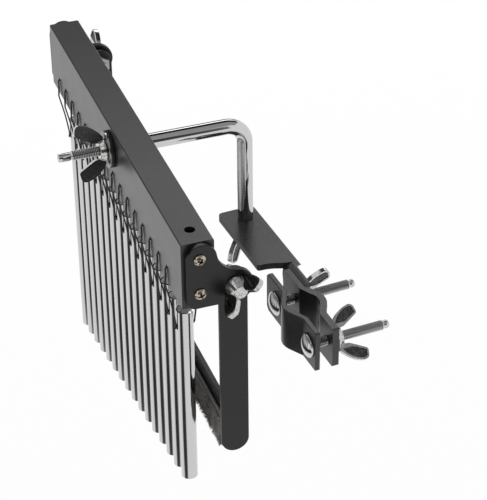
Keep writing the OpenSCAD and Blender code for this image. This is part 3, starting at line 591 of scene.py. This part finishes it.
def make_rod():
    """The bent rod: a threaded nose and foot, and a round bar along a quarter bend.

    The bar's rings are c(s) + r (cos t X + sin t N(s)). Over the bend, with its middle at m,
    c = m + R (sin a Y + cos a Z) and N = sin a Y + cos a Z for a from 0 to 90 degrees.
    """
    nose_start, nose_point, nose_round, nose_dimple = 14 * MM, 8 * MM, 0.7 * MM, 1.1 * MM
    foot_start = 5 * MM
    level = ROD_Z - ROD_BEND
    quarter = np.pi / 2
    start, foot = BAR_HIGH[1] + 0.02 * MM, ROD_LOW[2] + ROD_FOOT_L
    # distance from an end and share of the radius, over each rounded shoulder
    front_edge = [(0, 0), (0, 0.9), (0.15 * MM, 0.97), (0.5 * MM, 1)]
    foot_edge = [(0.5 * MM, 1), (0.17 * MM, 0.97), (0.02 * MM, 0.9), (0.02 * MM, 0)]
    # rows (y, z, a, share of the radius)
    along = [(start + d, ROD_Z, 0, share) for d, share in front_edge]
    along += [(y, ROD_Z, 0, 1)
              for y in np.linspace(start + 8 * MM, LEG_Y - ROD_BEND - 4 * MM, 5)]
    along += [(LEG_Y - ROD_BEND + ROD_BEND * math.sin(a), level + ROD_BEND * math.cos(a), a, 1)
              for a in np.linspace(0, quarter, 25)]
    along += [(LEG_Y, z, quarter, 1) for z in np.linspace(level - 4 * MM, foot + 8 * MM, 5)]
    along += [(LEG_Y, foot + d, quarter, share) for d, share in foot_edge]
    y, z, a, share = np.array(along).T[:, :, None]
    t = around(64)[None, :]
    r = ROD_R * share
    bar = np.stack([LEG_X + r * np.cos(t) + 0 * y,
                    y + r * np.sin(t) * np.sin(a),
                    z + r * np.sin(t) * np.cos(a)], axis=-1)

    def shank(at, axis, rows):
        """A threaded end's grid, and how far each of its points lies in the roots."""
        h, r, d = np.array([(0, 0, 0), (0, THREAD_R, 0)] + rows).T
        return turned(h, r, at, axis, 48, PITCH, d), thread_roots(h, d)

    nose, nose_roots = shank((LEG_X, BAR_HIGH[1], ROD_Z), (0, -1, 0), threaded_rows(
        nose_start, BAR_HIGH[1] - ROD_LOW[1], nose_point, nose_round, nose_dimple))
    tail, tail_roots = shank((LEG_X, LEG_Y, foot), (0, 0, -1), threaded_rows(
        foot_start, foot - ROD_LOW[2]))
    # how far each point lies in a thread's roots, where the chrome carries painted shade
    roots = np.concatenate([np.zeros(bar.shape[0] * bar.shape[1]), nose_roots, tail_roots])
    piece_of("bent_rod", *join_grids([bar, nose, tail]), "chrome", "rod", "l_rod", dull_and_painted_light=roots)


def make_clamp_bolt(node, side):
    """A carriage bolt: rim and dome, square neck in the jaw, thread, groove and point.

    The dome is an arc of radius (a^2 + h^2) / 2h for a head of half width a and dome height h.
    """
    bolt_x, head_y, tip_y, jaw_t = 22 * MM, -6.6 * MM, 43.5 * MM, 3 * MM
    head_r, head_h, rim_h, neck_w = 7.25 * MM, 4 * MM, 1.5 * MM, 3.1 * MM
    point_l, point_round = 4.5 * MM, 1.9 * MM
    dome_h = head_h - rim_h
    dome_r = (head_r ** 2 + dome_h ** 2) / (2 * dome_h)
    sweep = np.linspace(0, math.asin((head_r - 0.35 * MM) / dome_r), 16)
    # rows (height, radius, thread depth, squareness)
    rows = [(-(head_h - dome_r + dome_r * math.cos(a)), dome_r * math.sin(a), 0, 0)
            for a in sweep]
    rows += [(-rim_h + 0.05 * MM, head_r - 0.08 * MM, 0, 0), (-rim_h + 0.3 * MM, head_r, 0, 0),
             (-0.25 * MM, head_r, 0, 0), (-0.05 * MM, head_r - 0.2 * MM, 0, 0),
             (0, head_r - 0.5 * MM, 0, 0), (0, neck_w, 0, 1),
             (jaw_t - 0.2 * MM, neck_w, 0, 1), (jaw_t, THREAD_R, 0, 0.2)]
    shank = threaded_rows(jaw_t + 0.3 * MM, tip_y - head_y, point_l, point_round)
    h, r, d, corner = np.array(rows + [(*row, 0) for row in shank]).T
    grid = turned(h, r, in_clamp(side * bolt_x, head_y, 0), CLAMP_FRAME[:, 1], 48, PITCH, d,
                  corner)
    # the thread roots carry painted shade
    piece_of(node + "_turned", *join_grids([grid]), "chrome", "front_jaw", node,
             dull_and_painted_light=thread_roots(h, d))


# End screws with their cross recesses

# height over the bar's underside, and the cross's turn in degrees at the near and the far end
END_SCREWS = [(10.4 * MM, 18, 40), (32.0 * MM, 62, 10)]


def make_end_screws():
    """Domed heads: height h = H (1 - (r / a)^2.6) + rim, less a recess D cross(x, y) bowl(r).

    cross is 1 inside either arm of half width w and length l, and falls to 0 over its walls.
    bowl is 1.15 - r / 1.25 l, held between 0 and 1.
    """
    a, rim, dome = 3.4 * MM, 0.7 * MM, 1.7 * MM
    deep, w, l, wall = 1.35 * MM, 0.52 * MM, 1.95 * MM, 0.14 * MM
    shank_r, shank_l = 1.9 * MM, 9 * MM
    rings, sides = 46, 96
    r = a * np.linspace(0, 1, rings)[:, None]
    t = around(sides)[None, :]
    x, y = r * np.cos(t), r * np.sin(t)

    def within(p, half):
        """1 less than half away from 0, and 0 further out."""
        return np.clip((half - np.abs(p)) / wall + 0.5, 0, 1)

    cross = np.maximum(within(x, w) * within(y, l), within(y, w) * within(x, l))
    bowl = np.clip(1.15 - np.hypot(x, y) / (l * 1.25), 0, 1)
    h = rim + dome * (1 - (r / a) ** 2.6) - deep * cross * bowl
    top = np.stack([x, y, h + 0 * t], axis=-1)
    under = [(0.35 * MM, a), (0.0, a - 0.1 * MM), (0.0, shank_r), (-shank_l, shank_r),
             (-shank_l, 0)]
    rows = [np.stack([s * np.cos(t), s * np.sin(t), z + 0 * t], axis=-1) for z, s in under]
    head = np.concatenate([top] + rows)
    # painted shade in the cross recess, strongest where the recess is deepest
    recess = np.concatenate([np.clip(1.6 * cross * bowl, 0, 1), np.zeros((len(rows), sides))])
    grids = []
    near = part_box("end_plate_near")[1][0]
    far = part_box("end_plate_far")[0][0]
    for rise, spin_near, spin_far in END_SCREWS:
        for x0, facing, spin in ((near, 1, spin_near), (far, -1, spin_far)):
            c, s = math.cos(math.radians(spin)), math.sin(math.radians(spin))
            u = np.array([0, c, s])
            v = np.array([0, -s, c]) * facing
            n = np.array([facing, 0, 0])
            grids.append(np.array([x0, BAR_MID_Y, BAR_LOW[2] + rise])
                         + head[..., :1] * u + head[..., 1:2] * v + head[..., 2:] * n)
    piece_of("end_screw_heads", *join_grids(grids), "nickel", "bar", "end_screws",
             dull_and_painted_light=np.tile(recess.ravel(), len(grids)))


# Cords with their knots

STRAND_R = 0.40 * MM
KNOT_SIZE = 0.22 * MM
BAR_KNOT_R = 0.30 * MM
TUBE_KNOT_R = 0.31 * MM


def strand(points):
    """A cord's strand along a smooth path through points."""
    return swept(through(np.array(points)), STRAND_R, np.array([1.0, 0.02, 0.01]))


def knot(at, size, thick, spin, tilt):
    """A tight overhand knot, drawn as a trefoil.

    c(t) = s (sin t + 2 sin 2t, 0.8 sin 3t, cos t - 2 cos 2t), turned by spin about Y and then
    by tilt about X.
    """
    t = np.linspace(0, 2 * np.pi, 49)
    curve = np.stack([np.sin(t) + 2 * np.sin(2 * t), 0.8 * np.sin(3 * t),
                      np.cos(t) - 2 * np.cos(2 * t)], axis=-1)
    cs, sn, ct, st = math.cos(spin), math.sin(spin), math.cos(tilt), math.sin(tilt)
    turn_y = np.array([[cs, 0, sn], [0, 1, 0], [-sn, 0, cs]])
    turn_x = np.array([[1, 0, 0], [0, ct, -st], [0, st, ct]])
    curve = curve @ (turn_x @ turn_y).T * size
    bend = np.gradient(np.gradient(curve, axis=0), axis=0)
    return swept(at + curve, thick, bend, 7)


def cord_stub(x, d):
    """A strand from inside the bar out to the first knot, d to the side of the cord's line."""
    front = BAR_LOW[1]
    return strand([(x + d, front + 3 * MM, CORD_Z + 0.3 * MM),
                   (x + d, front + 0.6 * MM, CORD_Z + 0.2 * MM),
                   (x + d * 0.8, front - 0.45 * MM, CORD_Z - 0.5 * MM),
                   (x + d * 0.5, front - 0.75 * MM, CORD_Z - 2.0 * MM)])


def cord_strand(x, side, bow, skew):
    """One of the two strands of a cord: from the first knot down over the bar's face, where it
    bows away from its twin, to the tube, through it, and up behind into the bar."""
    front, back, low = BAR_LOW[1], BAR_HIGH[1], BAR_LOW[2]
    tube_front, tube_back = TUBE_Y - TUBE_R, TUBE_Y + TUBE_R
    return strand([(x + side * 0.3 * MM, front - 0.7 * MM, CORD_Z - 2.6 * MM),
                   (x + side * bow + skew, front - 0.8 * MM, CORD_Z - 5.0 * MM),
                   (x + side * bow * 0.9 + skew, front - 1.0 * MM, low + 3.0 * MM),
                   (x + side * 0.36 * MM, front - 1.1 * MM, low + 0.6 * MM),
                   (x + side * 0.36 * MM, front - 1.0 * MM, low - 1.2 * MM),
                   (x + side * 0.42 * MM, (front + tube_front) / 2 - 0.3 * MM,
                    (low + SEAT_Z) / 2),
                   (x + side * 0.34 * MM, tube_front - 0.7 * MM, SEAT_Z + 3.0 * MM),
                   (x + side * 0.3 * MM, tube_front - 0.5 * MM, SEAT_Z + 0.6 * MM),
                   (x + side * 0.3 * MM, tube_front + 0.6 * MM, SEAT_Z - 0.1 * MM),
                   (x + side * 0.3 * MM, TUBE_Y, SEAT_Z - 0.2 * MM),
                   (x + side * 0.3 * MM, tube_back - 0.6 * MM, SEAT_Z - 0.1 * MM),
                   (x + side * 0.3 * MM, tube_back + 0.7 * MM, SEAT_Z + 0.8 * MM),
                   (x + side * 0.34 * MM, tube_back + 1.3 * MM, SEAT_Z + 5.0 * MM),
                   (x + side * 0.36 * MM, back - 0.2 * MM, low - 1.2 * MM),
                   (x + side * 0.4 * MM, back + 0.5 * MM, low + 0.6 * MM),
                   (x + side * 0.5 * MM, back + 0.5 * MM, CORD_Z - 2.5 * MM),
                   (x + side * 0.4 * MM, back + 0.35 * MM, CORD_Z - 0.5 * MM),
                   (x + side * 0.3 * MM, back - 0.6 * MM, CORD_Z + 0.2 * MM),
                   (x + side * 0.3 * MM, back - 3 * MM, CORD_Z + 0.3 * MM)])


# The curl of a knot's loose end, in mm from the knot
LOOSE_END = [(0, 0, 0), (0.5, -0.2, -0.9), (0.2, -0.4, -1.7), (-0.5, -0.4, -1.5),
             (-0.6, -0.3, -0.8)]


def make_cords():
    """Sixteen cords. Each leaves the bar in front, is knotted, runs down as two strands to a
    knot at the front of its tube, passes through the tube and comes back up behind."""
    rng = np.random.default_rng(7)
    front, tube_front = BAR_LOW[1], TUBE_Y - TUBE_R
    grids = []
    for name in TUBES:
        box_low, box_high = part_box(name)
        x = (box_low[0] + box_high[0]) / 2
        bow = rng.uniform(0.55, 0.85) * MM
        skew = rng.uniform(-0.25, 0.25) * MM
        spin, tilt = rng.uniform(0, 2 * np.pi), rng.uniform(-0.4, 0.4)
        tube_spin = rng.uniform(0, 2 * np.pi)
        grids += [cord_stub(x, d) for d in (-0.3 * MM, 0.3 * MM)]
        at = np.array([x, front - 0.8 * MM, CORD_Z - 2.0 * MM])
        grids.append(knot(at, KNOT_SIZE, BAR_KNOT_R, spin, tilt))
        grids += [cord_strand(x, side, bow, skew) for side in (-1, 1)]
        at = np.array([x + 0.4 * MM, tube_front - 0.5 * MM, SEAT_Z + 0.3 * MM])
        grids.append(knot(at, KNOT_SIZE, TUBE_KNOT_R, tube_spin, 0.2))
        lean = rng.uniform(0.4, 1.0)
        grids.append(strand([at + np.array([lean * cx, cy, cz]) * MM
                             for cx, cy, cz in LOOSE_END]))
    piece_of("knotted_cords", *join_grids(grids), "cord_black", "bar", "suspension_cords")


# Damper pad

def slab(low, high, sag, seed):
    """A long soft slab along X: superellipse rings |y/b|^5 + |z/c|^5 = 1, where c is less by
    sag times a sum of sines over x, and b and c fade to 0 at the two ends."""
    rng = np.random.default_rng(seed)
    x = np.linspace(low[0], high[0], 420)
    waves = zip((160, 290, 470, 730, 1100, 1700), rng.uniform(0, 6.3, 6))
    wave = sum(np.sin(x * k + p) / n for n, (k, p) in enumerate(waves, 1)) / 2.5
    t = around(40)
    c, s = np.cos(t), np.sin(t)
    round_y, round_z = np.sign(c) * np.abs(c) ** 0.4, np.sign(s) * np.abs(s) ** 0.4
    b, h = (high[1] - low[1]) / 2, (high[2] - low[2]) / 2
    fade = np.clip(np.minimum(x - low[0], high[0] - x) / (0.6 * MM), 0, 1) ** 0.4
    drop = sag * (0.5 + 0.5 * wave[:, None])
    y = (low[1] + high[1]) / 2 + fade[:, None] * b * round_y
    z = (low[2] + high[2]) / 2 + fade[:, None] * (h - drop) * round_z
    return np.stack([x[:, None] + 0 * y, y, z], axis=-1)


def make_backing():
    """The woven strip behind the pile: one slab with slightly uneven edges."""
    low, high = [np.array(v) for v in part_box("damper_backing")]
    grid = slab(low, high, 0.25 * MM, 3)
    piece_of("woven_backing", *join_grids([grid]), "felt_backing", "damper", "damper_backing")


def make_pile(count=11000):
    """Crushed pile: a thin bed and leaning, tapered tufts.

    A tuft stands at p on the bed and runs to p + L (d + lean(p)), where lean is a slow field of
    sines that lays neighbouring tufts the same way, and droops at the lower edge.
    """
    bed_t, room_below, room_above = 1.3 * MM, 0.8 * MM, 0.5 * MM
    root_r, bend_r, root_depth, shortest, longest = 0.17 * MM, 0.13 * MM, 0.3 * MM, 1.5, 2.5
    end_room, edge_room = 0.6 * MM, 0.1 * MM
    low, high = [np.array(v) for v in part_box("damper_fur")]
    rng = np.random.default_rng(11)
    bed_low = np.array([low[0], high[1] - bed_t, low[2] + room_below])
    bed_high = high - np.array([0, 0, room_above])
    bed, bed_faces = join_grids([slab(bed_low, bed_high, 0.4 * MM, 5)])
    x = rng.uniform(low[0] + end_room, high[0] - end_room, count)
    z = rng.uniform(bed_low[2] + edge_room, bed_high[2] - edge_room, count)
    root = np.stack([x, np.full(count, bed_low[1] + root_depth), z], axis=-1)
    lean_x = 0.55 * np.sin(x * 310 + 2 * np.sin(z * 420)) + 0.35 * np.sin(x * 790 - z * 600 + 1.3)
    lean_z = 0.5 * np.sin(x * 420 + z * 300 + 0.7) + 0.3 * np.sin(z * 900 + x * 200)
    edge = np.clip(1 - (z - bed_low[2]) / (3 * MM), 0, 1)
    top = np.clip(1 - (bed_high[2] - z) / (2 * MM), 0, 1)
    lean_z = lean_z * (1 - edge) - 0.9 * edge + 0.5 * top
    way = unit(np.stack([lean_x + rng.normal(0, 0.18, count), np.full(count, -1.0),
                         lean_z + rng.normal(0, 0.18, count)], axis=-1))
    room = bed_low[1] - low[1]
    length = rng.uniform(shortest, longest, count) * MM
    length = np.minimum(length, room / np.abs(way[:, 1]))[:, None]
    side = unit(np.cross(way, [0.0, 0.0, 1.0]))
    up = np.cross(side, way)
    t = around(3)
    ring = (np.cos(t)[None, :, None] * side[:, None] + np.sin(t)[None, :, None] * up[:, None])
    bent = root + way * length * 0.55
    droop = np.array([0, 0.15, -0.35]) * length * rng.uniform(0.2, 1.0, (count, 1))
    tip = root + way * length + droop
    points = np.concatenate([root[:, None] + ring * root_r, bent[:, None] + ring * bend_r,
                             tip[:, None]], axis=1)
    first = np.arange(count)[:, None] * 7 + len(bed)
    wall = np.array([[0, 1, 4, 3], [1, 2, 5, 4], [2, 0, 3, 5]])
    cap = np.array([[3, 4, 6], [4, 5, 6], [5, 3, 6]])
    faces = bed_faces + (first[:, None] + wall).reshape(-1, 4).tolist()
    faces += (first[:, None] + cap).reshape(-1, 3).tolist()
    piece_of("crushed_pile", np.concatenate([bed, points.reshape(-1, 3)]), faces,
             "plush", "damper", "damper_fur")


make_rod()
make_clamp_bolt("clamp_bolt_left", -1)
make_clamp_bolt("clamp_bolt_right", 1)
make_end_screws()
make_cords()
make_backing()
make_pile()

ROUNDED = {
    0.45 * MM: ["bracket", "front_jaw"],
    0.40 * MM: ["end_plate_near", "end_plate_far", "damper_arm_near", "damper_arm_far"],
    0.35 * MM: ["rod_wing_nut", "plate_wing_nut", "clamp_wing_nut_left", "clamp_wing_nut_right",
                "pivot_screw_near", "pivot_screw_far", "rubber_washer", "plate_rubber_washer"],
    0.25 * MM: ["bar", "damper_strip", "wide_washer", "plate_washer", "clamp_washers",
                "pivot_spacers", "pivot_hex_nuts", *TUBES],
}
for width, nodes in ROUNDED.items():
    for node in nodes:
        softened(node, width)


# Camera

CAMERA_AT = Vector((0.84207, -0.33054, 0.66586))
CAMERA_AIM = Vector((-0.04769, -0.01881, 0.02294))
CAMERA_ROLL = math.radians(0.615)
IMAGE_WIDTH_PX = 487
FOCAL_PX = 1965.4


def make_camera():
    """A plain perspective camera at the photographer's place."""
    data = bpy.data.cameras.new("camera")
    data.sensor_fit = "HORIZONTAL"
    data.sensor_width = 36.0
    data.lens = data.sensor_width * (FOCAL_PX / IMAGE_WIDTH_PX)
    data.clip_start = 0.05
    data.clip_end = 20.0
    camera = bpy.data.objects.new("camera", data)
    bpy.context.scene.collection.objects.link(camera)
    aim = (CAMERA_AIM - CAMERA_AT).to_track_quat("-Z", "Y").to_matrix().to_4x4()
    roll = Matrix.Rotation(-CAMERA_ROLL, 4, "Z")
    camera.matrix_world = Matrix.Translation(CAMERA_AT) @ aim @ roll
    bpy.context.scene.camera = camera


# Studio

FLOOR_SIZE = 14.0
FLOOR_Z = -0.6
FLOOR_GLOW = 1.05
FLOOR_GLOW_SHARE = 0.86
# points along each edge of a card
CARD_POINTS = 33


def make_floor():
    """A wide pale floor that looks white to the camera and in reflections, and keeps a soft
    shadow."""
    bpy.ops.mesh.primitive_plane_add(size=FLOOR_SIZE, location=(0, 0, FLOOR_Z))
    floor = bpy.context.object
    floor.name = "floor"
    paint = Finish("floor_paint", Base_Color=grey(0.85), Roughness=0.9)
    tree = paint.tree
    path = tree.nodes.new("ShaderNodeLightPath")
    shine = tree.nodes.new("ShaderNodeEmission")
    shine.inputs["Strength"].default_value = FLOOR_GLOW
    blend = tree.nodes.new("ShaderNodeMixShader")
    by_camera = Value(tree, path.outputs["Is Camera Ray"])
    by_gloss = Value(tree, path.outputs["Is Glossy Ray"])
    put(tree, blend.inputs[0], by_camera.maximum(by_gloss) * FLOOR_GLOW_SHARE)
    tree.links.new(paint.shader.outputs[0], blend.inputs[1])
    tree.links.new(shine.outputs[0], blend.inputs[2])
    out = next(n for n in tree.nodes if n.type == "OUTPUT_MATERIAL")
    tree.links.new(blend.outputs[0], out.inputs["Surface"])
    floor.data.materials.append(paint.material)


def make_world():
    """A plain white room."""
    world = bpy.data.worlds.new("studio")
    bpy.context.scene.world = world
    world.use_nodes = True
    back = world.node_tree.nodes["Background"]
    back.inputs["Color"].default_value = WHITE
    back.inputs["Strength"].default_value = 1.0


def make_card(name, corner, across, up, glow):
    """A flat card corner + u across + v up, 0 <= u, v <= 1, that glows as glow(u, v) and that the
    camera doesn't see."""
    n = CARD_POINTS
    u, v = np.meshgrid(np.linspace(0, 1, n), np.linspace(0, 1, n), indexing="ij")
    points = np.array(corner) + u[..., None] * np.array(across) + v[..., None] * np.array(up)
    r, c = np.meshgrid(np.arange(n - 1), np.arange(n - 1), indexing="ij")
    first = r * n + c
    faces = np.stack([first, first + 1, first + n + 1, first + n], axis=-1).reshape(-1, 4)
    mesh = bpy.data.meshes.new(name)
    mesh.from_pydata(points.reshape(-1, 3).tolist(), [], faces.tolist())
    level = mesh.attributes.new("glow", "FLOAT", "POINT")
    level.data.foreach_set("value", np.asarray(glow(u, v) + 0 * u, dtype=np.float32).ravel())
    material = bpy.data.materials.new(name)
    material.use_nodes = True
    tree = material.node_tree
    shine = tree.nodes.new("ShaderNodeEmission")
    stored = tree.nodes.new("ShaderNodeAttribute")
    stored.attribute_name = "glow"
    tree.links.new(stored.outputs["Fac"], shine.inputs["Color"])
    out = next(n for n in tree.nodes if n.type == "OUTPUT_MATERIAL")
    tree.links.new(shine.outputs[0], out.inputs["Surface"])
    mesh.materials.append(material)
    card = bpy.data.objects.new(name, mesh)
    bpy.context.scene.collection.objects.link(card)
    card.visible_camera = False


def step(x, low, high):
    """0 below low and 1 above high, smooth between."""
    t = np.clip((x - low) / (high - low), 0, 1)
    return t * t * (3 - 2 * t)


def middle_of(x, edge):
    """0 at both ends of 0..1 and 1 in the middle, over a soft edge."""
    return step(x, 0, edge) * step(1 - x, 0, edge)


def shade(depth, u_edge, v_edge):
    """The glow of a card that is darker by depth in its middle, over soft edges."""
    return lambda u, v: 1 - depth * middle_of(u, u_edge) * middle_of(v, v_edge)


def make_lamp(name, at, aim, width, height, power):
    """A soft rectangular lamp that polished metal doesn't mirror."""
    data = bpy.data.lights.new(name, "AREA")
    data.shape = "RECTANGLE"
    data.size = width
    data.size_y = height
    data.energy = power
    lamp = bpy.data.objects.new(name, data)
    bpy.context.scene.collection.objects.link(lamp)
    lamp.visible_glossy = False
    lamp.location = at
    lamp.rotation_euler = (Vector(aim) - Vector(at)).to_track_quat("-Z", "Y").to_euler()


def back_glow(u, v):
    """Dim low down and over 1 high up, with soft edges but for the lowest."""
    return 1 + middle_of(u, 0.15) * (-0.85 + 3.4 * step(v, 0.32, 0.68)) * step(1 - v, 0, 0.15)


def top_glow(u, v):
    """Near black, with soft edges but for the one towards the camera."""
    return 1 - 0.97 * step(u, 0, 0.12) * middle_of(v, 0.1)


def grey_top_glow(u, v):
    """Grey, with soft edges but for the one away from the camera."""
    return 1 - 0.62 * step(1 - u, 0, 0.1) * middle_of(v, 0.1)


make_camera()
make_floor()
make_world()
# cards that the bright metal and the satin paint mirror: behind, overhead, and low in front
make_card("back_card", (-1.5, -0.45, 0.25), (0, 1.9, 0), (0, 0, 1.7), back_glow)
make_card("top_card", (-1.2, -0.25, 1.2), (1.0, 0, 0), (0, 1.9, 0), top_glow)
make_card("low_card", (-0.20, -0.70, -0.57), (0.71, 0.36, 0), (0.30, -0.60, 0),
          shade(0.96, 0.25, 0.12))
# on the horizon past the far end, above and behind the camera, and in front of the bar
make_card("side_card", (-1.6, -0.2, -0.05), (1.1, -1.2, 0), (0, 0, 0.75), shade(0.95, 0.12, 0.15))
make_card("grey_top_card", (-0.2, -0.9, 1.25), (1.52, 0, 0), (0, 2.4, 0), grey_top_glow)
make_card("camera_card", (1.25, -1.5, -0.05), (0, 2.1, 0), (0, 0, 1.35), shade(0.93, 0.12, 0.15))
make_card("front_card", (-0.9, -1.7, 0.0), (2.0, 0, 0), (0, 0, 1.4), shade(0.9, 0.15, 0.15))
make_lamp("key", (0.82, 0.40, 1.15), (-0.05, -0.05, 0.05), 0.25, 0.25, 1.8)

bpy.context.scene.view_settings.view_transform = "Standard"
